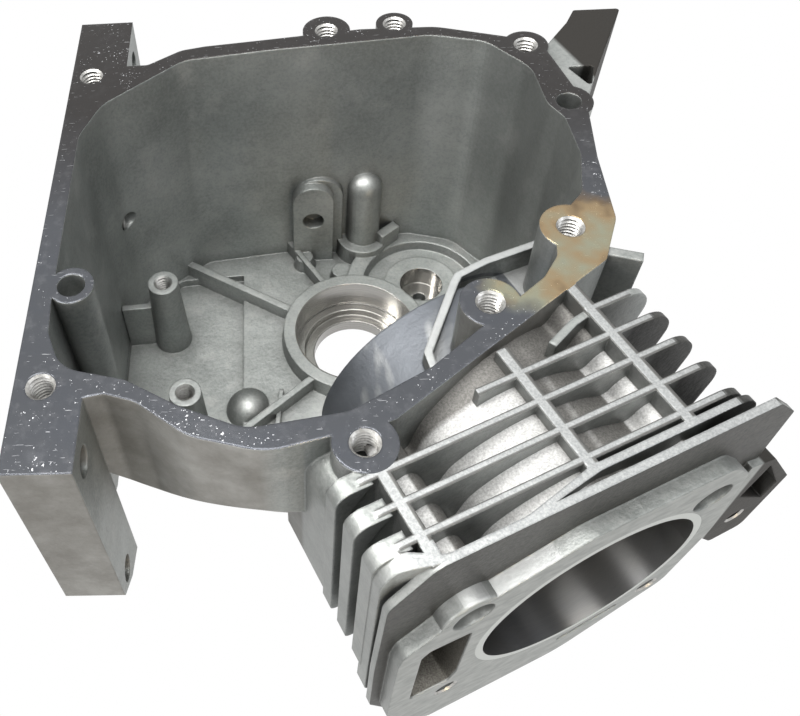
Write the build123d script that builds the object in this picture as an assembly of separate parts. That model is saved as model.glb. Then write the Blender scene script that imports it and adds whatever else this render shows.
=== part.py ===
"""Crankcase and cylinder block of a small single-cylinder engine, as cast and machined.

World axes: the crank axis is Z, and z = 0 is the mouth of the crank bearing seat.
+X points away from the mounting base, and the inclined cylinder points towards -Y.
In the cylinder's own frame a runs along the bore from the crank, n runs across it,
and up is world Z measured from the bore axis.
"""
import os
from math import cos, hypot, radians, sin, tan

from build123d import *

# Driving sizes in mm
BORE_D = 68.0            # finished cylinder bore
LINER_WALL = 2.5         # iron liner cast into the barrel
BARREL_WALL = 4.5        # aluminium round the liner
CRANK_SEAT_D = 47.0      # crank bearing seat
CAM_SEAT_D = 17.0
GASKET_H = 99.0          # side-cover gasket face above the seat mouth
BORE_DROP = 62.4         # bore axis below the gasket face
DECK = 132.5             # head face from the crank axis
INCLINE = 24.5           # cylinder against the base plane, degrees
BASE_X = 97.8            # base plane from the crank axis
SKIRT_A = 49.5           # inner end of the barrel
FLOOR_Z = -7.0           # inside floor round the crank boss
LOW_FLOOR_Z = -10.5      # lower floor beside the base wall
UNDER_Z = -15.5          # outside of the floor
STAND_DROP = 5.9         # bosses and head flange below the outside of the floor
WALL = 5.5               # crankcase wall where it is drawn in
FOOT_T = 18.5            # thickness of the feet from the base plane
COVER_BOLT_D = 8.0       # threaded holes of the gasket face
COVER_BOLT_DEPTH = 24.0
COVER_DOWEL_D = 8.0
COVER_DOWEL_DEPTH = 12.0
HEAD_BOLT_D = 8.0
HEAD_BOLT_DEPTH = 30.0
HEAD_DOWEL_D = 12.0
HEAD_DOWEL_DEPTH = 8.0
BASE_BOLT_D = 8.6        # clearance holes through the feet
SHROUD_BOLT_D = 6.0
SHROUD_BOLT_DEPTH = 9.0
TRAY_BOLT_D = 6.8
TRAY_BOLT_DEPTH = 18.0
FIRST_FIN_A = 84.4
FIN_COUNT = 5
FIN_T = 2.0
FIN_BEAD_T = 4.8         # thick outer edge of each fin on the push-rod side
WEB_T = 3.4
FLANGE_T = 2.2
RAISED_FACE = 4.5        # machined head face above the flange

# Sizes that follow from them
TOP = GASKET_H
BORE_Z = GASKET_H - BORE_DROP
REST_Z = UNDER_Z - STAND_DROP
LINER_R = BORE_D / 2 + LINER_WALL
BARREL_R = LINER_R + BARREL_WALL
SEAT_R = CRANK_SEAT_D / 2
BASE = -BASE_X
SPLIT_A = DECK - RAISED_FACE
LAST_PLATE_A = SPLIT_A - 5.3
FIN_PITCH = (LAST_PLATE_A - 3.1 - FIRST_FIN_A) / (FIN_COUNT - 1)

# Places of features: x, y and radius of the boss round each cover hole
COVER_BOLTS = [
    (-91.1, 38.3, 9.0),
    (-9.8, 57.9, 8.3),
    (14.1, 60.0, 6.4),
    (56.8, 44.5, 7.4),
    (53.8, -39.4, 8.6),
    (27.3, -65.5, 8.2),
    (-9.0, -107.0, 8.2),
    (-90.6, -88.3, 7.2),
]
COVER_DOWELS = [(-86.8, -54.7, 6.5), (64.8, 14.5, 7.6)]
TRAY_POSTS = [(-74.0, 6.0), (-63.3, -44.0)]
TRAY_POST_TOP = 26.0
SHROUD_BOSSES = [(-72.0, 30.0), (-60.0, -52.0), (52.0, 34.0)]
CAM = (28.6, 23.0)
BASE_BOLT_Y = (-105.0, 57.0)
BASE_BOLT_Z = (20.5, TOP - 9.5)
FOOT_Y = ((-113.5, -92.0), (41.5, 68.5))
HEAD_BOLT_N = (-5.8 - BORE_D / 2 - 2.4, -5.8 + BORE_D / 2 + 2.4)
HEAD_BOLT_UP = BORE_D / 2 - 3.7
LUG = (59.0, -11.5)
BOWL_CENTRE = (-20.0, 30.0)

# Outlines seen from above
CASE = [
    (BASE, -96.0),
    (-74.0, -91.0, 4),
    (-66.0, -93.5, 8),
    (-52.0, -104.0, 16),
    (-33.0, -109.0, 20),
    (-1.5, -101.0, 6),
    (60.8, -52.0, 3),
    (67.0, -37.0, 8),
    (67.6, -12.0, 20),
    (70.0, 12.0, 8),
    (62.0, 45.0, 8),
    (51.0, 49.5, 10),
    (28.0, 57.0, 20),
    (2.0, 57.6, 8),
    (-30.4, 54.2, 20),
    (-52.5, 52.0, 8),
    (-60.8, 50.3, 8),
    (-72.0, 43.0, 3),
    (BASE, 43.0),
]
MOUTH = [
    (-91.7, -60.0),
    (-91.0, -71.0, 6),
    (-86.5, -82.5, 10),
    (-69.0, -86.8, 6),
    (-55.0, -95.0, 14),
    (-38.0, -102.2, 14),
    (-12.0, -98.0, 8),
    (9.5, -85.6, 4),
    (43.0, -57.5, 4),
    (48.0, -50.0, 5),
    (49.5, -38.0, 4),
    (60.0, -26.0, 8),
    (63.2, -10.0, 12),
    (62.0, 7.0, 6),
    (58.0, 14.0, 8),
    (56.5, 32.0, 12),
    (44.0, 47.5, 12),
    (26.0, 52.5, 16),
    (-30.0, 48.2, 20),
    (-60.0, 44.5, 10),
    (-86.0, 23.0, 14),
    (-92.0, 8.0, 10),
]
LOW_POCKET = [(-91.7, -60.0), (-91.7, 8.0), (-72.0, 34.0, 6), (-45.0, 36.0), (-45.0, -60.0)]
SHELF = [
    (66.0, -22.0),
    (54.8, -24.6),
    (34.0, -32.7, 6),
    (24.3, -38.1, 3),
    (22.4, -41.3, 3),
    (11.5, -67.0, 2),
    (14.0, -78.0),
    (62.0, -42.0),
]
SHELF_RIB = [
    (54.8, -24.6),
    (34.0, -32.7, 6),
    (24.3, -38.1, 3),
    (22.4, -41.3, 3),
    (11.5, -67.0, 2),
    (12.6, -72.5),
    (14.8, -72.0),
    (14.0, -67.0, 1),
    (24.6, -42.4, 1.5),
    (26.0, -39.8, 1.5),
    (34.8, -34.9, 4),
    (55.6, -26.8),
]
EAR = [(60, 40), (64.5, 45.5), (73.2, 57), (77, 64, 1), (93, 63.8, 1), (79.5, 35), (72, 18), (62, 18)]
EAR_HOLLOW = [(68.0, 33.0, 1), (74.0, 22.0, 1), (77.0, 33.0, 1)]

# Outlines across the bore, as n and up
FLANGE = [
    (-65.5, -26.0, 3),
    (-66.0, 6.0, 40),
    (-65.2, 50.0, 6),
    (-53.5, BORE_DROP, 6),
    (-40.0, BORE_DROP),
    (41.5, BORE_DROP, 1.5),
    (50.0, 53.0, 2),
    (50.5, -12.0, 20),
    (46.0, -46.0, 8),
    (22.0, -57.5, 10),
    (-8.0, REST_Z - BORE_Z, 10),
    (-46.0, REST_Z - BORE_Z, 4),
    (-60.0, -38.0, 6),
]
RAISED = [
    (-62.3, -28.0, 6),
    (-62.3, 17.5, 1.5),
    (-61.0, 23.5, 4),
    (-48.6, 33.4, 8),
    (-12.0, 45.8, 14),
    (31.5, 45.8, 6),
    (39.4, 37.0, 5),
    (43.5, 0.0, 30),
    (38.0, -34.0, 8),
    (4.0, -56.5, 20),
    (-45.5, -56.5, 4),
    (-59.0, -38.0, 6),
]
PUSH_ROD_WINDOW = [
    (-55.4, -22.2, 2.0),
    (-55.4, 15.5, 1.5),
    (-53.0, 18.5, 1.5),
    (-40.4, 17.3, 1.5),
    (-40.4, -16.5, 1.5),
    (-42.5, -22.2, 1.5),
]
PASSAGE = [(-60.0, -25.5, 4), (-60.0, 21.5, 4), (-34.0, 22.5), (-30.0, -25.5)]
CHAMBER = [(-65.5, -9.5, 5), (-65.5, 54.0, 9), (-50.0, 56.0), (-42.0, 20.0), (-42.0, -9.5)]
FIN = [
    (31.0, -40.0),
    (-40.0, -46.0),
    (-56.0, -9.0),
    (-65.5, -9.0, 4),
    (-65.5, BORE_DROP, 8),
    (41.5, BORE_DROP, 9),
    (36.0, 38.0, 8),
    (46.0, 10.0, 20),
    (44.0, -24.0, 20),
]
FIN_BEAD = [
    (-66.0, -9.0, 3),
    (-66.0, BORE_DROP - 0.4, 8),
    (-56.0, BORE_DROP - 0.4),
    (-57.5, BORE_DROP - 3.0),
    (-61.5, 52.0, 5),
    (-61.5, -9.0),
]
LUG_OUTLINE = [(46, -14), (56, -27, 3), (68, -26, 3), (71, 5, 2), (55, 28, 2), (46, 30)]
LUG_HOLLOW = [(52.5, 7), (55.5, 24), (67.5, 4), (66.0, -5)]


def tangent_corner(before, corner, after, radius):
    """Start, middle and end of the arc that rounds one corner."""
    (x0, y0), (x1, y1), (x2, y2) = before, corner, after
    d0 = hypot(x0 - x1, y0 - y1)
    d2 = hypot(x2 - x1, y2 - y1)
    u0 = ((x0 - x1) / d0, (y0 - y1) / d0)
    u2 = ((x2 - x1) / d2, (y2 - y1) / d2)
    cosine = u0[0] * u2[0] + u0[1] * u2[1]
    half_tan = ((1 - cosine) / (1 + cosine)) ** 0.5
    reach = min(radius / half_tan, 0.49 * d0, 0.49 * d2)
    real_radius = reach * half_tan
    start = (x1 + u0[0] * reach, y1 + u0[1] * reach)
    end = (x1 + u2[0] * reach, y1 + u2[1] * reach)
    bx, by = u0[0] + u2[0], u0[1] + u2[1]
    inward = (hypot(reach, real_radius) - real_radius) / hypot(bx, by)
    middle = (x1 + bx * inward, y1 + by * inward)
    return start, middle, end


def rounded_face(corners):
    """Flat face from (x, y) or (x, y, radius) corners, each radius an arc."""
    count = len(corners)
    pieces = []
    for index, corner in enumerate(corners):
        before = corners[index - 1][:2]
        after = corners[(index + 1) % count][:2]
        if len(corner) == 3:
            pieces.append(tangent_corner(before, corner[:2], after, corner[2]))
        else:
            pieces.append((corner[:2],))
    edges = []
    for index, piece in enumerate(pieces):
        following = pieces[(index + 1) % count]
        if len(piece) == 3:
            edges.append(ThreePointArc(*piece))
        start, end = piece[-1], following[0]
        if hypot(end[0] - start[0], end[1] - start[1]) > 1e-4:
            edges.append(Line(start, end))
    return make_face(edges)


def prism(corners, z_low, z_high):
    """Upright block between two heights."""
    return extrude(Pos(0, 0, z_low) * rounded_face(corners), amount=z_high - z_low)


def post(x, y, z_low, z_high, r_low, r_high):
    """Upright round post or hole, tapered as a casting is where the radii differ."""
    middle = Pos(x, y, (z_low + z_high) / 2)
    if abs(r_low - r_high) < 1e-6:
        return middle * Cylinder(r_low, z_high - z_low)
    return middle * Cone(r_low, r_high, z_high - z_low)


def across(a):
    """Plane square to the bore at a from the crank: local x is n, local y is up."""
    lean = radians(INCLINE)
    along = Vector(sin(lean), -cos(lean), 0)
    origin = along * a + Vector(0, 0, BORE_Z)
    return Plane(origin=origin, x_dir=Vector(cos(lean), sin(lean), 0), z_dir=along)


def slab(corners, a_from, a_to):
    """Plate square to the bore."""
    return extrude(across(a_from) * rounded_face(corners), amount=a_to - a_from)


def round_along(n, up, a_from, a_to, radius):
    """Round bar or hole along the bore direction."""
    return extrude(across(a_from) * Pos(n, up) * Circle(radius), amount=a_to - a_from)


def seen_from_above(a_n_corners, z_low, z_high):
    """Upright block from corners given as a and n of the cylinder's frame."""
    lean = radians(INCLINE)
    corners = []
    for a, n, *radius in a_n_corners:
        corners.append((sin(lean) * a + cos(lean) * n, -cos(lean) * a + sin(lean) * n, *radius))
    return prism(corners, z_low, z_high)


def rib(start, end, width, z_low, z_high):
    """Thin straight rib between two points seen from above."""
    dx, dy = end[0] - start[0], end[1] - start[1]
    ox = -dy / hypot(dx, dy) * width / 2
    oy = dx / hypot(dx, dy) * width / 2
    corners = [
        (start[0] + ox, start[1] + oy),
        (end[0] + ox, end[1] + oy),
        (end[0] - ox, end[1] - oy),
        (start[0] - ox, start[1] - oy),
    ]
    return prism(corners, z_low, z_high)


def bowl(inset, z_low, low_radius):
    """Round body that draws the near side of the case in towards the floor."""
    knee_z = TOP - 35.0
    knee_r = 138.0 - inset
    r_low = knee_r - tan(radians(25.0)) * (knee_z - z_low)
    profile = [
        (0, z_low),
        (r_low, z_low, low_radius),
        (knee_r, knee_z, 60),
        (knee_r + 16.0, TOP + 3.0),
        (0, TOP + 3.0),
    ]
    turned = revolve(Plane.XZ * rounded_face(profile), Axis.Z)
    return Pos(*BOWL_CENTRE, 0) * turned


def fin_a(index):
    return FIRST_FIN_A + index * FIN_PITCH


def build_case():
    """Crankcase shell with bolt bosses, hollowed, and its base wall with two feet."""
    case = prism(CASE, UNDER_Z, TOP)
    for x, y, radius in COVER_BOLTS[1:7] + COVER_DOWELS[1:]:
        case += post(x, y, TOP - 34.0, TOP, radius, radius)
    case &= bowl(0.0, UNDER_Z, 10.0)

    # base wall and feet, cut back towards the lower end
    foot_side = [
        (FOOT_Y[0][0], TOP),
        (FOOT_Y[0][0], 19.5, 2),
        (-103.5, 10.5, 2),
        (-86.0, 4.0, 2),
        (-60.0, UNDER_Z + 4.0),
        (20.0, UNDER_Z + 4.0),
        (42.0, 4.0),
        (58.5, 10.5),
        (FOOT_Y[1][1], 19.5, 2),
        (FOOT_Y[1][1], TOP),
    ]
    base_plane = Plane(origin=(BASE, 0, 0), x_dir=(0, 1, 0), z_dir=(1, 0, 0))
    base_face = base_plane * rounded_face(foot_side)
    case += extrude(base_face, amount=6.0)
    feet = extrude(base_face, amount=FOOT_T)
    for y_from, y_to in FOOT_Y:
        keep = Pos(BASE, (y_from + y_to) / 2, TOP / 2) * Box(3 * FOOT_T, y_to - y_from, 2 * TOP)
        case += feet & keep
    return case


def build_cavity():
    """What is hollow inside the case."""
    cavity = prism(MOUTH, FLOOR_Z, TOP + 1) + prism(LOW_POCKET, LOW_FLOOR_Z, FLOOR_Z + 1)
    cavity &= bowl(WALL + 0.5, LOW_FLOOR_Z, 8.0)
    for x, y, radius in COVER_BOLTS[4:7] + COVER_DOWELS[:1]:
        cavity -= post(x, y, TOP - 50.0, TOP + 2, radius - 1.0, radius)
    return cavity


def build_outside():
    """Barrel, push-rod passage, fins, webs and what stands under the case."""
    outside = [round_along(0, 0, 70.0, SPLIT_A - 1, BARREL_R)]
    outside.append(slab(PASSAGE, 84.0, SPLIT_A - 1))
    outside.append(slab(CHAMBER, 75.0, fin_a(2) + FIN_T / 2))

    # the first two fins stop short of the near webs and end in a curl
    full = []
    for index in range(FIN_COUNT):
        full.append(slab(FIN, fin_a(index) - FIN_T / 2, fin_a(index) + FIN_T / 2))
    for index, n_end in ((0, 19.6), (1, -21.0)):
        a = fin_a(index)
        keep = [(a - 2, n_end), (a - 2, 60), (a + 2, 60), (a + 2, n_end)]
        full[index] &= seen_from_above(keep, BORE_Z - 60, TOP + 1)
    curl = [(83.4, 20), (84.6, 13, 10), (88.0, 4), (89.9, 5), (86.6, 13.6, 10), (85.4, 20)]
    outside.append(seen_from_above(curl, BORE_Z + 20, TOP - 1.0))
    outside += full
    for index in range(2, FIN_COUNT):
        a = fin_a(index) - 0.6
        outside.append(slab(FIN_BEAD, a - FIN_BEAD_T / 2, a + FIN_BEAD_T / 2))

    # last plate: apart from the flange at the right, running into it at the left
    step = SPLIT_A - FLANGE_T - LAST_PLATE_A
    plan = [
        (-1.0, 48.0),
        (-1.0, -9.0, 12),
        (step, -29.0, 12),
        (step, -50.0, 6),
        (-2.4, -60.0),
        (-2.4, -70.0),
        (2.0, -70.0),
        (2.0, -62.0),
        (step + 1.0, -54.0),
        (step + 1.0, -28.0, 12),
        (1.0, -7.5, 12),
        (1.0, 48.0),
    ]
    plan = [(LAST_PLATE_A + corner[0], *corner[1:]) for corner in plan]
    plate = seen_from_above(plan, BORE_Z - 48.0, TOP)
    plate_side = [(-65.8, -20.0, 4), (-65.8, BORE_DROP, 8), (41.5, BORE_DROP, 9), (38.5, 20), (30, -46), (-40, -46)]
    outside.append(plate & slab(plate_side, LAST_PLATE_A - 6, SPLIT_A))
    for n, a_from, a_to in ((-52.7, fin_a(2), SPLIT_A - 1), (-8.4, 85.0, LAST_PLATE_A), (19.6, 75.5, LAST_PLATE_A)):
        left, right = n - WEB_T / 2, n + WEB_T / 2
        outside.append(slab([(left, 8), (left, BORE_DROP), (right, BORE_DROP), (right, 8)], a_from, a_to))

    # columns round the head bolts
    low, high = HEAD_BOLT_UP - 8.5, HEAD_BOLT_UP + 8.2
    for n in HEAD_BOLT_N:
        column = [(n - 8, low), (n - 8, high, 4), (n + 7, high, 4), (n + 7, low)]
        outside.append(slab(column, DECK - 36.5, SPLIT_A - 1))
        column = [(n - 8, -high), (n - 8, -low), (n + 8, -low), (n + 8, -high)]
        outside.append(slab(column, DECK - 31.0, SPLIT_A - 1))

    outside.append(rib((57.0, -46.9), (71.0, -51.3), 3.0, TOP - 60.0, TOP - 0.5))
    outside.append(post(0, 0, REST_Z, UNDER_Z + 1, SEAT_R + 7.5, SEAT_R + 9.5))
    for x, y in SHROUD_BOSSES:
        outside.append(post(x, y, REST_Z, UNDER_Z + 2, 7.5, 7.5))
        outside.append(rib((0, 0), (x, y), 4.0, UNDER_Z - 2.5, UNDER_Z + 1))
    return outside


def build_inside():
    """Barrel skirt, shelf, crank and cam bosses, posts and ribs inside the case."""
    low = UNDER_Z + 1
    inside = [round_along(0, 0, SKIRT_A, 95.0, BARREL_R)]
    inside.append(prism(SHELF, TOP - 60.0, TOP - 28.0))
    inside.append(prism(SHELF_RIB, TOP - 60.0, TOP - 20.0))
    inside.append(post(0, 0, UNDER_Z, 0.0, SEAT_R + 6.5, SEAT_R + 5.0))
    cam_disc = post(*CAM, low, -1.5, 31.5, 30.5) - post(*CAM, -5.0, 0.0, 22.5, 24.5)
    inside.append(cam_disc & prism(MOUTH, low, TOP))
    inside.append(post(*CAM, low, -1.0, 16.0, 15.0))
    for x, y in TRAY_POSTS:
        inside.append(post(x, y, LOW_FLOOR_Z - 1, TRAY_POST_TOP, 7.4, 5.8))
    inside.append(Pos(-42.8, -29.5, -11.0) * Sphere(8.8) & post(-42.8, -29.5, low, 0.0, 9.0, 9.0))
    inside.append(post(-18.6, 41.0, low, -1.5, 6.5, 3.5))
    inside.append(post(-3.3, 33.5, low, -2.5, 6.5, 4.0))
    for start, end, width, height in (
        ((-11.5, 26.0), (-26.5, 52.0), 2.2, -0.6),
        ((4.5, 28.0), (5.0, 45.0), 2.0, -3.0),
        ((-23.9, 11.1), (-71.4, 40.7), 3.0, -0.6),
        ((-18.0, -21.6), (-44.1, -43.5), 2.6, -0.6),
        ((-30.0, -24.0), (-33.0, -50.0), 1.8, -4.5),
        ((-91.7, 4.5), (-79.8, 5.5), 2.6, 13.0),
    ):
        inside.append(rib(start, end, width, low, height))

    # dome post in its horseshoe collar, and the pierced upright beside it
    x, y, radius, dome_top = 6.4, 50.0, 6.8, 36.2
    inside.append(post(x, y, low, dome_top - radius, radius + 0.4, radius))
    inside.append(Pos(x, y, dome_top - radius) * Sphere(radius))
    inside.append(post(x, y, low, 1.5, 11.6, 11.0))
    inside.append(rib((13.0, 44.5), (20.5, 50.5), 4.0, low, 6.5))
    for left, right, top, y in ((-23.1, -6.6, 35.4, 43.5), (-22.6, -2.6, 36.4, 47.5)):
        upright = [(left, low), (left, top, (right - left) / 2), (right, top, (right - left) / 2), (right, low)]
        face = Plane(origin=(0, y, 0), x_dir=(1, 0, 0), z_dir=(0, -1, 0)) * rounded_face(upright)
        inside.append(extrude(face, amount=y - 53.0))
    return inside


def build_block():
    """The whole casting with its machined faces and holes."""
    block = build_case()
    for piece in build_outside():
        block += piece
    block -= build_cavity()
    for piece in build_inside():
        block += piece

    # head flange, raised machined face, ear at the far corner, lug beside the head
    block += slab(FLANGE, SPLIT_A - FLANGE_T, SPLIT_A)
    block += slab(RAISED, SPLIT_A - 1.0, DECK)
    block += prism(EAR, TOP - 46.0, TOP - 1.0) - prism(EAR_HOLLOW, TOP - 40.0, TOP)
    lug_front = SPLIT_A + 2.0
    lug = slab(LUG_OUTLINE, SPLIT_A - 8.0, lug_front) - slab(LUG_HOLLOW, SPLIT_A - 5.0, lug_front + 1)
    block += lug - round_along(*LUG, SPLIT_A - 9.0, lug_front + 1, 3.4)

    # crank seat with its groove, oil-seal bore and outlet, then the cam seat
    block -= post(0, 0, -12.5, 30.0, SEAT_R, SEAT_R)
    block -= post(0, 0, -12.9, -12.3, SEAT_R + 0.4, SEAT_R + 0.4)
    block -= post(0, 0, -16.0, 0.0, SEAT_R - 3.5, SEAT_R - 3.5)
    block -= post(0, 0, REST_Z - 1, 0.0, SEAT_R - 7.3, SEAT_R - 7.3)
    block -= post(*CAM, -10.0, 10.0, CAM_SEAT_D / 2, CAM_SEAT_D / 2)
    block -= post(*CAM, -14.0, 10.0, 2.6, 2.6)

    # cylinder, push-rod passage and oil return slot
    block -= round_along(0, 0, SKIRT_A - 1, DECK + 1, LINER_R)
    block -= slab(PUSH_ROD_WINDOW, 82.0, DECK + 1)
    slot = across(DECK - 14.0) * (Pos(10.5, -38.9) * Rot(0, 0, 16.0) * SlotOverall(22.0, 3.0))
    block -= extrude(slot, amount=20.0)
    return block


def build_holes():
    """Every screw, dowel and bolt hole."""
    holes = []
    for x, y, _ in COVER_BOLTS:
        holes.append(post(x, y, TOP - COVER_BOLT_DEPTH, TOP + 1, COVER_BOLT_D / 2, COVER_BOLT_D / 2))
    for x, y, _ in COVER_DOWELS:
        holes.append(post(x, y, TOP - COVER_DOWEL_DEPTH, TOP + 1, COVER_DOWEL_D / 2, COVER_DOWEL_D / 2))
    for n in HEAD_BOLT_N:
        for up in (-HEAD_BOLT_UP, HEAD_BOLT_UP):
            holes.append(round_along(n, up, DECK - HEAD_BOLT_DEPTH, DECK + 1, HEAD_BOLT_D / 2))
        holes.append(round_along(n, HEAD_BOLT_UP, DECK - HEAD_DOWEL_DEPTH, DECK + 1, HEAD_DOWEL_D / 2))
    for y in BASE_BOLT_Y:
        for z in BASE_BOLT_Z:
            bolt = Rot(0, 90, 0) * Cylinder(BASE_BOLT_D / 2, FOOT_T + 4)
            holes.append(Pos(BASE + FOOT_T / 2, y, z) * bolt)
    for x, y in SHROUD_BOSSES:
        top = REST_Z + SHROUD_BOLT_DEPTH
        holes.append(post(x, y, REST_Z - 1, top, SHROUD_BOLT_D / 2, SHROUD_BOLT_D / 2))
    for x, y in TRAY_POSTS:
        low = TRAY_POST_TOP - TRAY_BOLT_DEPTH
        holes.append(post(x, y, low, TRAY_POST_TOP + 4, TRAY_BOLT_D / 2, TRAY_BOLT_D / 2))
    holes.append(Pos(-14.8, 43.0, 17.4) * Rot(90, 0, 0) * Cylinder(4.3, 12.0))
    holes.append(Pos(BASE, 22.0, 44.0) * Rot(0, 90, 0) * Cylinder(3.4, 36.0))
    return holes


def build_liner():
    """Iron cylinder liner cast into the barrel, flush with the head face."""
    outer = round_along(0, 0, SKIRT_A, DECK, LINER_R)
    return outer - round_along(0, 0, SKIRT_A - 1, DECK + 1, BORE_D / 2)


engine_block = build_block()
for hole in build_holes():
    engine_block -= hole

os.makedirs("parts", exist_ok=True)
export_step(engine_block, "parts/engine_block.step")
export_step(build_liner(), "parts/cylinder_liner.step")
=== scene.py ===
import math

import bpy
from mathutils import Matrix, Vector


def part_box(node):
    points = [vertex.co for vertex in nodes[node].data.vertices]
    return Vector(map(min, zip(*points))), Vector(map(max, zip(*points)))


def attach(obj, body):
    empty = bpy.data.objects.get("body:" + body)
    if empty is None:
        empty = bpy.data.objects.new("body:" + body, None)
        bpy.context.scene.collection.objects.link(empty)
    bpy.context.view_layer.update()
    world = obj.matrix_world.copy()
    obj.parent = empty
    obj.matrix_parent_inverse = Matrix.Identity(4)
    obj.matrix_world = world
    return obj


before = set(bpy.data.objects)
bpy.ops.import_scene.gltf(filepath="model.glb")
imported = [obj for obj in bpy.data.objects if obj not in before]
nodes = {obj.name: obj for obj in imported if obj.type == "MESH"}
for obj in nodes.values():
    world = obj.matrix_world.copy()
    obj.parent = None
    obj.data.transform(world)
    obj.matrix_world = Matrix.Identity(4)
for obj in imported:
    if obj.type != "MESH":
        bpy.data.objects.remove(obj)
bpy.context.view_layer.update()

scene = bpy.context.scene

# Engine block: crankcase, feet, finned barrel and head flange, die-cast in aluminium as one
# piece, so it has one material. Masks from place and normal tell the machined faces (oiled
# gasket face with a burnt stain, milled head face, turned seats) from the cast skin.
GASKET_Z = 0.099
UNDERSIDE_Z = -0.0214
BASE_X = -0.0978
BORE_Z = 0.0366
DECK = 0.1325
BARREL_R = 0.041
CRANK_SEAT_R = 0.024
CAM_SEAT = (0.0286, 0.023, 0)
CAM_SEAT_R = 0.0087
FIN_EDGE = (0.618, -0.786, 0)
FIN_EDGE_AT = 0.0786
LAST_BOSS = (-0.009, -0.107, 0)
LAST_BOSS_R = 0.00825
FIRST_FIN = 0.0800
FIN_PITCH = 0.0088
FIN_WEBS = (-0.0527, -0.0084, 0.0196)
STAIN_AT = (0.049, -0.049, GASKET_Z)
PALE_PATCH_AT = (-0.022, -0.098, GASKET_Z)

# the cylinder's own directions: along the bore, and across it
LEAN = math.radians(24.5)
ALONG = Vector((math.sin(LEAN), -math.cos(LEAN), 0.0))
ACROSS = Vector((math.cos(LEAN), math.sin(LEAN), 0.0))


class Finish:
    """A finish being mixed: each call adds one shader node and returns its output."""

    def __init__(self, owner):
        owner.use_nodes = True
        self.tree = owner.node_tree
        self.tree.nodes.clear()

    def add(self, kind, **settings):
        made = self.tree.nodes.new(kind)
        for key, value in settings.items():
            setattr(made, key, value)
        return made

    def feed(self, made, socket, value):
        if hasattr(value, "is_linked"):
            self.tree.links.new(value, made.inputs[socket])
        elif isinstance(value, tuple) and made.inputs[socket].type == "RGBA":
            made.inputs[socket].default_value = (*value, 1.0)
        else:
            made.inputs[socket].default_value = value

    def calc(self, operation, a, b=0.0, clamp=False):
        made = self.add("ShaderNodeMath", operation=operation, use_clamp=clamp)
        self.feed(made, 0, a)
        self.feed(made, 1, b)
        return made.outputs[0]

    def dot(self, vector, direction):
        made = self.add("ShaderNodeVectorMath", operation="DOT_PRODUCT")
        self.feed(made, 0, vector)
        made.inputs[1].default_value = tuple(direction)
        return made.outputs["Value"]

    def distance(self, vector, point, flat=False):
        if flat:
            made = self.add("ShaderNodeVectorMath", operation="MULTIPLY")
            self.feed(made, 0, vector)
            made.inputs[1].default_value = (1.0, 1.0, 0.0)
            vector = made.outputs[0]
        made = self.add("ShaderNodeVectorMath", operation="DISTANCE")
        self.feed(made, 0, vector)
        made.inputs[1].default_value = tuple(point)
        return made.outputs["Value"]

    def noise(self, where, scale, detail=4.0, rough=0.55, stretch=None):
        if stretch:
            mapping = self.add("ShaderNodeMapping")
            self.feed(mapping, "Vector", where)
            mapping.inputs["Scale"].default_value = stretch
            where = mapping.outputs[0]
        made = self.add("ShaderNodeTexNoise")
        self.feed(made, "Vector", where)
        for socket, value in (("Scale", scale), ("Detail", detail), ("Roughness", rough)):
            made.inputs[socket].default_value = value
        return made.outputs["Fac"]

    def ramp(self, value, *stops):
        made = self.add("ShaderNodeValToRGB")
        self.feed(made, 0, value)
        elements = made.color_ramp.elements
        while len(elements) < len(stops):
            elements.new(0.5)
        for element, (at, colour) in zip(elements, stops):
            element.position = at
            element.color = (*colour, 1.0)
        return made.outputs["Color"]

    def mix(self, factor, a, b):
        made = self.add("ShaderNodeMix", data_type="RGBA")
        self.feed(made, 0, factor)
        self.feed(made, 6, a)
        self.feed(made, 7, b)
        return made.outputs[2]

    def blend(self, factor, a, b):
        made = self.add("ShaderNodeMix", data_type="FLOAT")
        self.feed(made, 0, factor)
        self.feed(made, 2, a)
        self.feed(made, 3, b)
        return made.outputs[0]

    def group(self, shared, *values):
        made = self.add("ShaderNodeGroup", node_tree=shared)
        for socket, value in enumerate(values):
            self.feed(made, socket, value)
        return made.outputs[0]


# effect that every finish here shares: 1 where a value lies between Low and High, soft ends
band = bpy.data.node_groups.new("band_mask", "ShaderNodeTree")
for label in ("Value", "Low", "High", "Soft"):
    band.interface.new_socket(name=label, in_out="INPUT", socket_type="NodeSocketFloat")
band.interface.new_socket(name="Mask", in_out="OUTPUT", socket_type="NodeSocketFloat")
band_in = band.nodes.new("NodeGroupInput")
band_out = band.nodes.new("NodeGroupOutput")
edges = []
for first, second in (("Value", "Low"), ("High", "Value")):
    gap = band.nodes.new("ShaderNodeMath")
    gap.operation = "SUBTRACT"
    band.links.new(band_in.outputs[first], gap.inputs[0])
    band.links.new(band_in.outputs[second], gap.inputs[1])
    slope = band.nodes.new("ShaderNodeMath")
    slope.operation = "DIVIDE"
    slope.use_clamp = True
    band.links.new(gap.outputs[0], slope.inputs[0])
    band.links.new(band_in.outputs["Soft"], slope.inputs[1])
    edges.append(slope)
both = band.nodes.new("ShaderNodeMath")
both.operation = "MULTIPLY"
band.links.new(edges[0].outputs[0], both.inputs[0])
band.links.new(edges[1].outputs[0], both.inputs[1])
band.links.new(both.outputs[0], band_out.inputs["Mask"])

cast = bpy.data.materials.new("cast_aluminium")
finish = Finish(cast)
here = finish.add("ShaderNodeTexCoord").outputs["Object"]
facing = finish.add("ShaderNodeNewGeometry").outputs["True Normal"]
split = finish.add("ShaderNodeSeparateXYZ")
finish.feed(split, 0, here)
height = split.outputs["Z"]
along = finish.dot(here, ALONG)
sideways = finish.dot(here, ACROSS)
up = finish.dot(facing, (0, 0, 1))

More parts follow.
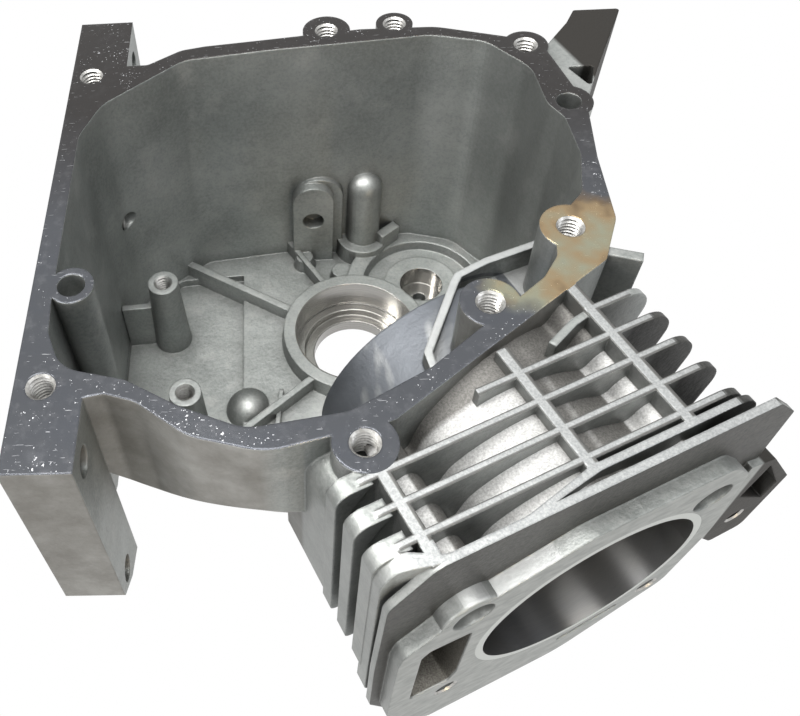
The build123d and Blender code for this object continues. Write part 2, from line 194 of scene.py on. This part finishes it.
# where the fins begin: beyond the straight near edge of the gasket face, its last boss apart
past_edge = finish.group(band, finish.dot(here, FIN_EDGE), FIN_EDGE_AT, 1.0, 0.0002)
off_boss = finish.group(band, finish.distance(here, LAST_BOSS, flat=True), LAST_BOSS_R, 1.0, 0.0001)
at_fins = finish.calc("MULTIPLY", past_edge, off_boss)
level_top = finish.calc(
    "MULTIPLY",
    finish.group(band, height, GASKET_Z - 0.0003, 1.0, 0.0001),
    finish.group(band, up, 0.97, 2.0, 0.02),
)
gasket = finish.calc("MULTIPLY", level_top, finish.calc("SUBTRACT", 1.0, at_fins))
fin_top = finish.calc("MULTIPLY", level_top, at_fins)
front = finish.group(band, finish.dot(facing, ALONG), 0.97, 2.0, 0.02)
head = finish.calc("MULTIPLY", finish.group(band, along, DECK - 0.0003, 1.0, 0.0002), front)
from_crank = finish.distance(here, (0, 0, 0), flat=True)
seat = finish.calc(
    "MULTIPLY",
    finish.group(band, from_crank, -1.0, CRANK_SEAT_R, 0.0001),
    finish.group(band, height, -1.0, 0.001, 0.0001),
)
from_cam = finish.distance(here, CAM_SEAT, flat=True)
cam_seat = finish.calc(
    "MULTIPLY",
    finish.group(band, from_cam, -1.0, CAM_SEAT_R, 0.0001),
    finish.group(band, height, -0.0102, -0.0008, 0.0001),
)
turned = finish.calc("MAXIMUM", seat, cam_seat)
across_up = finish.add("ShaderNodeCombineXYZ")
finish.feed(across_up, 0, sideways)
finish.feed(across_up, 1, finish.calc("SUBTRACT", height, BORE_Z))
from_bore = finish.distance(across_up.outputs[0], (0, 0, 0))
barrel = finish.calc(
    "MULTIPLY",
    finish.group(band, from_bore, BARREL_R - 0.0006, BARREL_R + 0.0004, 0.0002),
    finish.group(band, along, 0.075, 0.126, 0.001),
)
# painted shade: the barrel's left flank, seen deep between the left fins, is painted dark
left_fin_gap_shade = finish.calc(
    "MULTIPLY",
    finish.group(band, along, 0.082, DECK - 0.0004, 0.0002),
    finish.calc(
        "MULTIPLY",
        finish.group(band, sideways, -0.0562, -0.040, 0.0004),
        finish.group(band, height, 0.014, 0.0555, 0.0004),
    ),
)

# cast skin
cloud = finish.noise(here, 24.0, 5.0, 0.62)
blotch = finish.noise(here, 75.0, 4.0, 0.6)
grain = finish.noise(here, 2200.0, 3.0, 0.7)
pits = finish.noise(here, 1100.0, 3.0, 0.6)
flow = finish.noise(here, 9.0, 3.0, 0.5, (1.0, 1.0, 3.0))
skin = finish.ramp(
    cloud,
    (0.30, (0.225, 0.240, 0.232)),
    (0.50, (0.310, 0.327, 0.318)),
    (0.70, (0.405, 0.418, 0.410)),
)
skin = finish.mix(
    finish.calc("MULTIPLY", finish.group(band, blotch, 0.55, 2.0, 0.12), 0.35),
    skin,
    (0.48, 0.48, 0.467),
)
skin = finish.mix(
    finish.calc("MULTIPLY", finish.group(band, pits, 0.56, 2.0, 0.2), 0.30),
    skin,
    (0.18, 0.18, 0.172),
)
sandy_grain = finish.noise(here, 820.0, 4.0, 0.75)
skin = finish.mix(
    finish.calc("MULTIPLY", finish.group(band, sandy_grain, 0.46, 2.0, 0.14), 0.20),
    skin,
    (0.46, 0.46, 0.446),
)
skin = finish.mix(
    finish.calc("MULTIPLY", finish.group(band, sandy_grain, -1.0, 0.50, 0.14), 0.16),
    skin,
    (0.13, 0.13, 0.124),
)
# painted shade: the right side of the fins and the flange's front face are painted near black, as the
# shade they lie in; the same mask makes them rougher
outer = finish.group(band, along, 0.086, 0.1284, 0.002)
right_fins_shade = finish.calc("MULTIPLY", finish.group(band, sideways, 0.0215, 1.0, 0.004), outer)
flange_front_shade = finish.calc("MULTIPLY", finish.group(band, along, 0.1276, 0.1284, 0.0001), front)
right_and_flange_shade = finish.calc("MAXIMUM", right_fins_shade, flange_front_shade)
skin = finish.mix(
    finish.calc("MULTIPLY", right_and_flange_shade, 0.90),
    skin,
    finish.ramp(sandy_grain, (0.38, (0.018, 0.017, 0.015)), (0.62, (0.050, 0.048, 0.044))),
)
# painted light: the up-facing shelf inside the case is painted pale, as the light falling on it
lit_shelf_top = finish.calc(
    "MULTIPLY",
    finish.group(band, height, 0.0695, 0.0800, 0.0003),
    finish.group(band, up, 0.9, 2.0, 0.05),
)
skin = finish.mix(finish.calc("MULTIPLY", lit_shelf_top, 0.6), skin, (0.56, 0.57, 0.57))
ear = finish.group(band, finish.dot(here, (0.93, 0.37, 0)), 0.0795, 1.0, 0.0015)
left_facing_shade = finish.group(band, finish.dot(facing, (-0.9, 0.1, 0)), 0.35, 2.0, 0.4)
# painted shade: near faces turned towards the viewer, on the feet and the bowl, are painted a darker
# warm grey
front_face_shade = finish.calc(
    "MULTIPLY",
    finish.group(band, finish.dot(facing, (-0.2, -1.0, 0)), 0.2, 2.0, 0.3),
    finish.calc(
        "MULTIPLY",
        finish.group(band, split.outputs["Y"], -1.0, -0.062, 0.004),
        finish.group(band, along, -1.0, 0.086, 0.002),
    ),
)
warm = finish.ramp(blotch, (0.35, (0.175, 0.163, 0.147)), (0.65, (0.295, 0.288, 0.272)))
skin = finish.mix(finish.calc("MULTIPLY", front_face_shade, 0.75), skin, warm)
# painted shade: the ear (masked above) and the lug beside the head are painted near black, the tone of
# their shaded side; the same mask makes them more metallic and rougher
lug = finish.calc(
    "MULTIPLY",
    finish.group(band, sideways, 0.0500, 1.0, 0.001),
    finish.group(band, along, 0.1190, 0.1315, 0.0003),
)
shaded_ear_and_lug = finish.calc("MAXIMUM", ear, lug)
skin = finish.mix(shaded_ear_and_lug, skin, (0.040, 0.0375, 0.034))
# painted shade: faces turned to the left, such as the case's inner right wall, are painted darker
skin = finish.mix(finish.calc("MULTIPLY", left_facing_shade, 0.45), skin, (0.12, 0.122, 0.118))
inside_case = finish.group(band, sideways, -1.0, 0.031, 0.001)
skirt = finish.calc(
    "MULTIPLY",
    finish.group(band, from_bore, BARREL_R - 0.0010, BARREL_R + 0.0008, 0.0002),
    finish.calc("MULTIPLY", inside_case, finish.group(band, along, 0.045, 0.078, 0.0004)),
)
# painted shade and light: the skirt inside the case is painted dark blue-grey as shade, with lighter
# streaks painted as patches of light
streak = finish.noise(here, 55.0, 3.0, 0.6, (1.0, 0.35, 1.0))
skirt_shade_and_light = finish.mix(
    finish.group(band, streak, 0.56, 2.0, 0.10),
    (0.13, 0.14, 0.155),
    (0.33, 0.34, 0.34),
)
skin = finish.mix(skirt, skin, skirt_shade_and_light)
# painted shade: ambient occlusion darkens the colour in corners and at the foot of ribs
crevice = finish.add("ShaderNodeAmbientOcclusion", samples=4)
crevice.inputs["Distance"].default_value = 0.007
crevice_shade = finish.calc("MULTIPLY", finish.calc("SUBTRACT", 1.0, crevice.outputs["AO"]), 0.65, clamp=True)
skin = finish.mix(crevice_shade, skin, (0.055, 0.055, 0.052))
sand = finish.ramp(
    finish.noise(here, 900.0, 3.0, 0.7),
    (0.35, (0.35, 0.35, 0.34)),
    (0.60, (0.56, 0.56, 0.55)),
)
skin = finish.mix(barrel, skin, sand)
skin = finish.mix(
    left_fin_gap_shade,
    skin,
    finish.ramp(grain, (0.35, (0.10, 0.095, 0.085)), (0.65, (0.24, 0.23, 0.205))),
)

# oiled gasket face, its colour partly a painted reflection of the dark room: navy near the viewer,
# brown-black at the far side
far_side_reflection = finish.group(
    band,
    finish.calc("ADD", split.outputs["Y"], finish.calc("MULTIPLY", cloud, 0.04)),
    -0.012,
    9.0,
    0.05,
)
oil = (0.118, 0.124, 0.136)
oil = finish.mix(finish.group(band, blotch, 0.48, 2.0, 0.22), oil, (0.115, 0.122, 0.137))
film = finish.noise(here, 260.0, 4.0, 0.7)
oil = finish.mix(
    finish.calc("MULTIPLY", finish.group(band, film, 0.52, 2.0, 0.15), 0.55),
    oil,
    (0.19, 0.195, 0.21),
)
oil = finish.mix(finish.calc("MULTIPLY", far_side_reflection, 0.72), oil, (0.040, 0.033, 0.026))
# paler, blotchy patch round the boss at the near left
near_boss = finish.group(band, finish.distance(here, PALE_PATCH_AT, flat=True), -1.0, 0.046, 0.022)
oil = finish.mix(
    finish.calc("MULTIPLY", near_boss, finish.calc("ADD", finish.calc("MULTIPLY", film, 0.9), 0.05)),
    oil,
    (0.36, 0.375, 0.40),
)
speck = finish.noise(here, 1300.0, 2.0, 0.6)
speck_zone = finish.noise(here, 55.0, 3.0, 0.6)
specks = finish.group(
    band,
    finish.calc("ADD", speck, finish.calc("MULTIPLY", speck_zone, 0.40)),
    0.900,
    9.0,
    0.05,
)
scratch_lines = []
for turn, scale in ((0.5, 260.0), (2.2, 310.0)):
    mapping = finish.add("ShaderNodeMapping")
    finish.feed(mapping, "Vector", here)
    mapping.inputs["Rotation"].default_value = (0.0, 0.0, turn)
    mapping.inputs["Scale"].default_value = (0.10, 1.0, 1.0)
    line = finish.noise(mapping.outputs[0], scale * 9.0, 1.0, 0.5)
    scratch_lines.append(finish.group(band, line, 0.755, 9.0, 0.03))
scratches = finish.calc("MAXIMUM", scratch_lines[0], scratch_lines[1])
marks = finish.calc("MAXIMUM", specks, finish.calc("MULTIPLY", scratches, 0.45))
oil = finish.mix(marks, oil, (0.62, 0.63, 0.65))
from_stain = finish.distance(here, STAIN_AT)
stain_edge = finish.calc("ADD", from_stain, finish.calc("MULTIPLY", finish.noise(here, 70.0), 0.024))
stain_amount = finish.calc("MULTIPLY", finish.group(band, stain_edge, -1.0, 0.0395, 0.008), 0.93)
stain = finish.ramp(
    finish.calc(
        "ADD",
        finish.noise(here, 60.0, 3.0, 0.6),
        finish.calc("MULTIPLY", finish.dot(here, (-0.5, -0.8, 0)), 4.0),
    ),
    (0.38, (0.22, 0.155, 0.092)),
    (0.50, (0.40, 0.295, 0.17)),
    (0.66, (0.38, 0.375, 0.27)),
    (0.86, (0.27, 0.32, 0.305)),
)
oil = finish.mix(stain_amount, oil, stain)

# machined head face and turned seats
cutter = finish.noise(here, 420.0, 3.0, 0.6, (0.08, 1.0, 1.0))
milled = finish.ramp(cutter, (0.35, (0.25, 0.264, 0.254)), (0.65, (0.355, 0.366, 0.355)))
lathe = finish.noise(height, 1600.0, 2.0, 0.6)
turned_colour = finish.ramp(lathe, (0.3, (0.25, 0.243, 0.228)), (0.7, (0.44, 0.432, 0.413)))
# painted highlight: on the fin and web tops a bright band along one edge stands for the lit rounding,
# and the rest of each top is painted dark as its shaded side
fin_top_highlight = finish.ramp(
    finish.noise(here, 1700.0, 3.0, 0.7),
    (0.38, (0.29, 0.30, 0.30)),
    (0.68, (0.43, 0.44, 0.44)),
)

colour = finish.mix(gasket, skin, oil)
pitch = finish.calc(
    "FRACT",
    finish.calc("DIVIDE", finish.calc("SUBTRACT", along, FIRST_FIN), FIN_PITCH),
)
highlight_ridge = finish.calc(
    "MAXIMUM",
    finish.group(band, pitch, 0.40, 0.56, 0.03),
    finish.group(band, along, 0.1214, 1.0, 0.0003),
)
for n in FIN_WEBS:
    highlight_ridge = finish.calc("MAXIMUM", highlight_ridge, finish.group(band, sideways, n - 0.0016, n + 0.0010, 0.0003))
colour = finish.mix(fin_top, colour, finish.mix(highlight_ridge, (0.13, 0.13, 0.125), fin_top_highlight))
colour = finish.mix(head, colour, milled)
colour = finish.mix(turned, colour, turned_colour)
rough = finish.calc("ADD", finish.calc("MULTIPLY", blotch, 0.22), 0.37)
rough = finish.blend(barrel, rough, 0.62)
rough = finish.blend(right_and_flange_shade, rough, 0.50)
rough = finish.blend(finish.calc("MAXIMUM", front_face_shade, shaded_ear_and_lug), rough, 0.60)
rough = finish.blend(
    gasket,
    rough,
    finish.blend(marks, finish.calc("ADD", finish.calc("MULTIPLY", cloud, 0.16), 0.13), 0.5),
)
rough = finish.blend(head, rough, 0.46)
rough = finish.blend(turned, rough, 0.22)
machined = finish.calc("MAXIMUM", finish.calc("MAXIMUM", gasket, head), turned)

surface = finish.add("ShaderNodeBsdfPrincipled")
finish.feed(surface, "Base Color", colour)
finish.feed(surface, "Metallic", finish.blend(shaded_ear_and_lug, finish.blend(machined, 0.78, 0.94), 0.85))
finish.feed(surface, "Roughness", rough)
soft_edge = finish.add("ShaderNodeBevel", samples=4)
soft_edge.inputs["Radius"].default_value = 0.0009
waves = finish.add("ShaderNodeBump")
waves.inputs["Distance"].default_value = 0.0016
finish.feed(waves, "Height", finish.calc("ADD", cloud, finish.calc("MULTIPLY", flow, 0.7)))
finish.feed(waves, "Strength", finish.blend(machined, 0.55, 0.0))
finish.feed(waves, "Normal", soft_edge.outputs[0])
bump = finish.add("ShaderNodeBump")
bump.inputs["Distance"].default_value = 0.00012
finish.feed(bump, "Height", finish.calc("MULTIPLY", finish.calc("ADD", sandy_grain, pits), 0.6))
finish.feed(bump, "Strength", finish.blend(machined, 0.8, 0.06))
finish.feed(bump, "Normal", waves.outputs[0])
finish.feed(surface, "Normal", bump.outputs[0])
out = finish.add("ShaderNodeOutputMaterial")
finish.feed(out, "Surface", surface.outputs[0])
block = nodes["engine_block"]
block.data.materials.clear()
block.data.materials.append(cast)

# Cylinder liner: iron sleeve cast into the barrel, its end milled flush with the head face
# and its wall honed in crossing lines. The gloss is drawn out along the bore, as fine
# marks round it make it.
honed = bpy.data.materials.new("honed_iron")
finish = Finish(honed)
here = finish.add("ShaderNodeTexCoord").outputs["Object"]
facing = finish.add("ShaderNodeNewGeometry").outputs["True Normal"]
along = finish.dot(here, ALONG)
end_ring = finish.group(band, finish.dot(facing, ALONG), 0.95, 2.0, 0.02)
hone_lines = []
for slant in (0.45, -0.45):
    shear = finish.calc("ADD", along, finish.calc("MULTIPLY", finish.dot(here, (0, 0, 1)), slant))
    hone_lines.append(finish.noise(shear, 2600.0, 2.0, 0.5))
hone = finish.calc("MULTIPLY", finish.calc("ADD", hone_lines[0], hone_lines[1]), 0.5)
tone = finish.noise(here, 30.0, 3.0, 0.5, (1.0, 1.0, 0.3))
wall = finish.ramp(tone, (0.30, (0.11, 0.118, 0.135)), (0.70, (0.22, 0.215, 0.20)))
wall = finish.mix(finish.calc("MULTIPLY", hone, 0.30), wall, (0.46, 0.44, 0.40))
surface = finish.add("ShaderNodeBsdfPrincipled")
finish.feed(surface, "Base Color", finish.mix(end_ring, wall, (0.50, 0.52, 0.50)))
surface.inputs["Metallic"].default_value = 0.95
finish.feed(surface, "Roughness", finish.blend(end_ring, 0.30, 0.42))
finish.feed(surface, "Anisotropic", finish.blend(end_ring, 0.75, 0.0))
drawn = finish.add("ShaderNodeCombineXYZ")
for axis in range(3):
    drawn.inputs[axis].default_value = ALONG[axis]
finish.feed(surface, "Tangent", drawn.outputs[0])
bump = finish.add("ShaderNodeBump")
bump.inputs["Distance"].default_value = 0.00003
bump.inputs["Strength"].default_value = 0.35
finish.feed(bump, "Height", hone)
finish.feed(surface, "Normal", bump.outputs[0])
out = finish.add("ShaderNodeOutputMaterial")
finish.feed(out, "Surface", surface.outputs[0])
liner = nodes["cylinder_liner"]
liner.data.materials.clear()
liner.data.materials.append(honed)

# Cut threads: tapped into the bored screw holes of the casting, so their metal is bright.
# Each is a helix below a short lead-in cone, seven turns deep, as far as light reaches.
cut = bpy.data.materials.new("cut_thread")
finish = Finish(cut)
here = finish.add("ShaderNodeTexCoord").outputs["Object"]
chips = finish.noise(here, 900.0, 3.0, 0.7)
surface = finish.add("ShaderNodeBsdfPrincipled")
finish.feed(
    surface,
    "Base Color",
    finish.ramp(chips, (0.35, (0.34, 0.335, 0.32)), (0.65, (0.52, 0.515, 0.50))),
)
surface.inputs["Metallic"].default_value = 0.95
finish.feed(surface, "Roughness", finish.calc("ADD", finish.calc("MULTIPLY", chips, 0.2), 0.28))
out = finish.add("ShaderNodeOutputMaterial")
finish.feed(out, "Surface", surface.outputs[0])

THREAD_TURNS = 7
THREAD_STEPS = 32
thread_meshes = {}
for bore_r, pitch in ((0.004, 0.00125), (0.0034, 0.00125), (0.003, 0.001)):
    crest = bore_r - 0.55 * pitch
    points = []
    quads = []
    for ring_r, depth in ((bore_r - 0.00002, -0.00002), (crest, -0.0006)):
        for step in range(THREAD_STEPS):
            turn = 2 * math.pi * step / THREAD_STEPS
            points.append((ring_r * math.cos(turn), ring_r * math.sin(turn), depth))
    for step in range(THREAD_STEPS):
        after = (step + 1) % THREAD_STEPS
        quads.append((step, after, THREAD_STEPS + after, THREAD_STEPS + step))
    profile = ((bore_r - 0.00004, 0.5), (crest, 0.08), (crest, -0.08), (bore_r - 0.00004, -0.5))
    first = len(points)
    for step in range(THREAD_TURNS * THREAD_STEPS + 1):
        turn = 2 * math.pi * step / THREAD_STEPS
        for ring_r, lift in profile:
            depth = -0.0006 - 0.55 * pitch - pitch * step / THREAD_STEPS + lift * pitch
            points.append((ring_r * math.cos(turn), ring_r * math.sin(turn), min(depth, -0.0006)))
    for step in range(THREAD_TURNS * THREAD_STEPS):
        for side in range(3):
            corner = first + 4 * step + side
            quads.append((corner, corner + 1, corner + 5, corner + 4))
    mesh = bpy.data.meshes.new("thread_%02d" % round(bore_r * 10000))
    mesh.from_pydata(points, [], quads)
    mesh.materials.append(cut)
    thread_meshes[bore_r] = mesh

HEAD_BOLTS_ACROSS = (-0.0422, 0.0306)
HEAD_BOLT_LIFT = 0.0303
DOWEL_DEPTH = 0.008
TRAY_POST_TOP = 0.026
head_bolts = []
for n in HEAD_BOLTS_ACROSS:
    for lift, mouth in ((HEAD_BOLT_LIFT, DECK - DOWEL_DEPTH), (-HEAD_BOLT_LIFT, DECK)):
        head_bolts.append((ALONG * mouth + ACROSS * n + Vector((0, 0, BORE_Z + lift)), ALONG, 0.004))
screw_holes = head_bolts + [
    (Vector((x / 1000, y / 1000, GASKET_Z)), Vector((0, 0, 1)), 0.004)
    for x, y in (
        (-91.1, 38.3),
        (-9.8, 57.9),
        (14.1, 60.0),
        (56.8, 44.5),
        (53.8, -39.4),
        (27.3, -65.5),
        (-9.0, -107.0),
        (-90.6, -88.3),
    )
]
for x, y in ((-74.0, 6.0), (-63.3, -44.0)):
    screw_holes.append((Vector((x / 1000, y / 1000, TRAY_POST_TOP)), Vector((0, 0, 1)), 0.0034))
for x, y in ((-72.0, 30.0), (-60.0, -52.0), (52.0, 34.0)):
    screw_holes.append((Vector((x / 1000, y / 1000, UNDERSIDE_Z)), Vector((0, 0, -1)), 0.003))
screw_holes.append((ALONG * 0.130 + ACROSS * 0.059 + Vector((0, 0, BORE_Z - 0.0115)), ALONG, 0.0034))
screw_holes.append((Vector((BASE_X, 0.022, 0.044)), Vector((-1, 0, 0)), 0.0034))
for number, (mouth, outward, bore_r) in enumerate(screw_holes):
    thread = bpy.data.objects.new("cut_thread_%02d" % number, thread_meshes[bore_r])
    scene.collection.objects.link(thread)
    turn = outward.to_track_quat("Z", "Y").to_matrix().to_4x4()
    thread.matrix_world = Matrix.Translation(mouth) @ turn
    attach(thread, "root")

# Barrel jacket: the sandy surface of the casting at the bottom of the bays between the fins,
# drawn along the bore from the crankcase to the flange. Its profile (across, above the bore
# axis, in mm) follows the photograph up to 18.5; further right and in parts left it is guessed.
sandy = bpy.data.materials.new("sandy_cast")
finish = Finish(sandy)
here = finish.add("ShaderNodeTexCoord").outputs["Object"]
sand_grain = finish.noise(here, 1700.0, 3.0, 0.7)
sand_tone = finish.noise(here, 160.0, 3.0, 0.6)
pale = finish.ramp(sand_grain, (0.35, (0.34, 0.34, 0.335)), (0.62, (0.56, 0.56, 0.555)))
pale = finish.mix(
    finish.calc("MULTIPLY", finish.group(band, sand_tone, 0.56, 2.0, 0.1), 0.25),
    pale,
    (0.50, 0.50, 0.49),
)
slope = finish.dot(finish.add("ShaderNodeNewGeometry").outputs["Normal"], ACROSS)
near_case = finish.group(
    band,
    finish.calc("ADD", finish.dot(here, ALONG), finish.calc("MULTIPLY", sand_tone, 0.002)),
    -1.0,
    0.0945,
    0.0015,
)
shadow_side = finish.calc("MAXIMUM", finish.group(band, slope, -0.02, 2.0, 0.22), near_case)
pale = finish.mix(
    shadow_side,
    pale,
    finish.ramp(sand_grain, (0.35, (0.115, 0.112, 0.106)), (0.62, (0.20, 0.195, 0.185))),
)
surface = finish.add("ShaderNodeBsdfPrincipled")
finish.feed(surface, "Base Color", pale)
finish.feed(surface, "Metallic", finish.blend(shadow_side, 0.25, 0.6))
surface.inputs["Roughness"].default_value = 0.62
bump = finish.add("ShaderNodeBump")
bump.inputs["Distance"].default_value = 0.0001
bump.inputs["Strength"].default_value = 0.6
finish.feed(bump, "Height", sand_grain)
finish.feed(surface, "Normal", bump.outputs[0])
out = finish.add("ShaderNodeOutputMaterial")
finish.feed(out, "Surface", surface.outputs[0])

CASE_WALL = 0.0785
CASE_WALL_SLOPE = 0.2433
JACKET_END = 0.1265
JACKET_THICKNESS = 0.0015
hood = (
    (-51.0, 55.0), (-49.0, 56.4), (-46.5, 57.2), (-44.5, 56.4), (-42.5, 53.5), (-40.5, 48.5),
    (-38.5, 42.5), (-36.5, 42.5), (-35.0, 46.5), (-33.2, 50.0), (-30.6, 52.3), (-28.0, 54.0),
    (-25.3, 55.3), (-20.0, 57.2), (-14.4, 58.4), (-10.5, 58.6), (-6.5, 57.9), (-2.0, 56.9),
    (1.0, 56.4), (4.5, 55.2), (8.0, 53.7), (11.0, 52.2), (12.8, 52.5), (14.3, 54.4),
    (16.0, 56.0), (18.5, 56.4), (22.0, 52.0), (27.0, 46.0), (31.0, 38.0), (33.0, 30.0),
)
outline = []
for index in range(len(hood) - 1):
    knots = [Vector(hood[max(0, min(len(hood) - 1, index + shift))]) for shift in (-1, 0, 1, 2)]
    for part in range(4):
        t = part / 4
        outline.append(0.5 * (
            2 * knots[1]
            + (knots[2] - knots[0]) * t
            + (2 * knots[0] - 5 * knots[1] + 4 * knots[2] - knots[3]) * t * t
            + (3 * knots[1] - knots[0] - 3 * knots[2] + knots[3]) * t * t * t
        ))
outline.append(Vector(hood[-1]))
points = []
quads = []
for n, lift in outline:
    for reach in (CASE_WALL - CASE_WALL_SLOPE * n / 1000, JACKET_END):
        for sink in (0.0, JACKET_THICKNESS):
            points.append(
                ALONG * reach + ACROSS * n / 1000 + Vector((0, 0, BORE_Z + lift / 1000 - sink)),
            )
for step in range(len(outline) - 1):
    first = 4 * step
    quads.append((first, first + 2, first + 6, first + 4))
    quads.append((first + 1, first + 5, first + 7, first + 3))
mesh = bpy.data.meshes.new("barrel_jacket")
mesh.from_pydata(points, [], quads)
mesh.polygons.foreach_set("use_smooth", [True] * len(mesh.polygons))
mesh.materials.append(sandy)
jacket = bpy.data.objects.new("barrel_jacket", mesh)
scene.collection.objects.link(jacket)
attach(jacket, "root")

# Dowel rim: the edge of the raised head face round the left dowel recess, cast whole with
# the block. It lies a hair behind the milled face, so only the rim shows.
RIM_STEPS = 64
rim_at = ACROSS * HEAD_BOLTS_ACROSS[0] + Vector((0, 0, BORE_Z + HEAD_BOLT_LIFT))
rounding = (
    (0.0060, 0.1280),
    (0.0060, 0.13245),
    (0.0088, 0.13245),
    (0.0091, 0.1322),
    (0.0092, 0.1318),
    (0.0092, 0.1280),
)
points = []
quads = []
for step in range(RIM_STEPS):
    turn = 2 * math.pi * step / RIM_STEPS
    outward = ACROSS * math.cos(turn) + Vector((0, 0, math.sin(turn)))
    for ring_r, reach in rounding:
        points.append(rim_at + ALONG * reach + outward * ring_r)
for step in range(RIM_STEPS):
    for side in range(len(rounding) - 1):
        here_at = step * len(rounding) + side
        after = (step + 1) % RIM_STEPS * len(rounding) + side
        quads.append((here_at, here_at + 1, after + 1, after))
mesh = bpy.data.meshes.new("dowel_rim")
mesh.from_pydata(points, [], quads)
mesh.materials.append(cast)
rim = bpy.data.objects.new("dowel_rim", mesh)
scene.collection.objects.link(rim)
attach(rim, "root")

# Floor: plain paper sheet, white to the camera and in reflections, soft grey to the light
paper = bpy.data.materials.new("paper")
finish = Finish(paper)
matt = finish.add("ShaderNodeBsdfDiffuse")
finish.feed(matt, "Color", (0.33, 0.33, 0.33))
white = finish.add("ShaderNodeEmission")
finish.feed(white, "Color", (1.0, 1.0, 1.0))
choose = finish.add("ShaderNodeMixShader")
path = finish.add("ShaderNodeLightPath").outputs
seen = finish.calc("MAXIMUM", path["Is Camera Ray"], path["Is Glossy Ray"])
finish.feed(choose, 0, finish.calc("MAXIMUM", seen, path["Is Transmission Ray"]))
finish.feed(choose, 1, matt.outputs[0])
finish.feed(choose, 2, white.outputs[0])
out = finish.add("ShaderNodeOutputMaterial")
finish.feed(out, "Surface", choose.outputs[0])
lowest = min(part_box("engine_block")[0].z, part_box("cylinder_liner")[0].z)
bpy.ops.mesh.primitive_plane_add(size=6.0, location=(0, 0, lowest))
floor = bpy.context.object
floor.name = "floor"
floor.data.materials.append(paper)

# Room: white to the camera and in reflections; the light it gives is grey, less beyond the
# object
room = bpy.data.worlds.new("room")
scene.world = room
finish = Finish(room)
look = finish.add("ShaderNodeTexCoord").outputs["Generated"]
dark_patch = finish.group(band, finish.dot(look, (0.05, 0.66, 0.75)), 0.72, 2.0, 0.16)
glow = finish.mix(dark_patch, (0.40, 0.41, 0.42), (0.05, 0.055, 0.065))
ambient = finish.add("ShaderNodeBackground")
finish.feed(ambient, "Color", glow)
finish.feed(ambient, "Strength", 0.75)
plain = finish.add("ShaderNodeBackground")
finish.feed(plain, "Color", (1.0, 1.0, 1.0))
choose = finish.add("ShaderNodeMixShader")
path = finish.add("ShaderNodeLightPath").outputs
seen = finish.calc("MAXIMUM", path["Is Camera Ray"], path["Is Glossy Ray"])
finish.feed(choose, 0, finish.calc("MAXIMUM", seen, path["Is Transmission Ray"]))
finish.feed(choose, 1, ambient.outputs[0])
finish.feed(choose, 2, plain.outputs[0])
out = finish.add("ShaderNodeOutputWorld")
finish.feed(out, "Surface", choose.outputs[0])

# Lamps: a broad one overhead, a strong one high on the left, weak ones near the viewer on
# the left, at the right, and in front of the head, which gives the bore its warm streak
for name, place, size, length, watts, tint in (
    ("lamp_top", (-0.12, -0.14, 1.05), 0.70, 0.60, 14.0, (1.0, 0.99, 0.97)),
    ("lamp_left", (-0.80, -0.10, 0.95), 0.25, 0.25, 7.5, (1.0, 0.98, 0.95)),
    ("lamp_near_left", (-0.75, -0.70, 0.30), 0.35, 0.35, 4.0, (1.0, 0.99, 0.97)),
    ("lamp_right", (0.80, -0.30, 0.60), 0.30, 0.30, 1.2, (0.92, 0.95, 1.0)),
    ("lamp_bore", (0.20, -0.62, 0.06), 0.018, 0.30, 0.8, (1.0, 0.78, 0.48)),
):
    data = bpy.data.lights.new(name, "AREA")
    data.shape = "RECTANGLE"
    data.size = size
    data.size_y = length
    data.energy = watts
    data.color = tint
    lamp = bpy.data.objects.new(name, data)
    scene.collection.objects.link(lamp)
    lamp.location = place
    lamp.rotation_euler = (Vector((0, -0.03, 0.04)) - Vector(place)).to_track_quat("-Z", "Y").to_euler()

# Camera at the photograph's viewing angle
right = Vector((0.998052, 0.006700, -0.062020))
down = Vector((-0.032896, -0.788207, -0.614531))
ahead = Vector((-0.053001, 0.615374, -0.786451))
data = bpy.data.cameras.new("camera")
camera = bpy.data.objects.new("camera", data)
scene.collection.objects.link(camera)
turn = Matrix((right, -down, -ahead)).transposed().to_4x4()
camera.matrix_world = Matrix.Translation((-0.0264045, -0.2155423, 0.2914321)) @ turn
data.lens = 40.8117
data.sensor_width = 36.0
data.shift_x = 0.2
data.shift_y = -0.0616
data.clip_start = 0.01
scene.camera = camera
scene.view_settings.view_transform = "Standard"
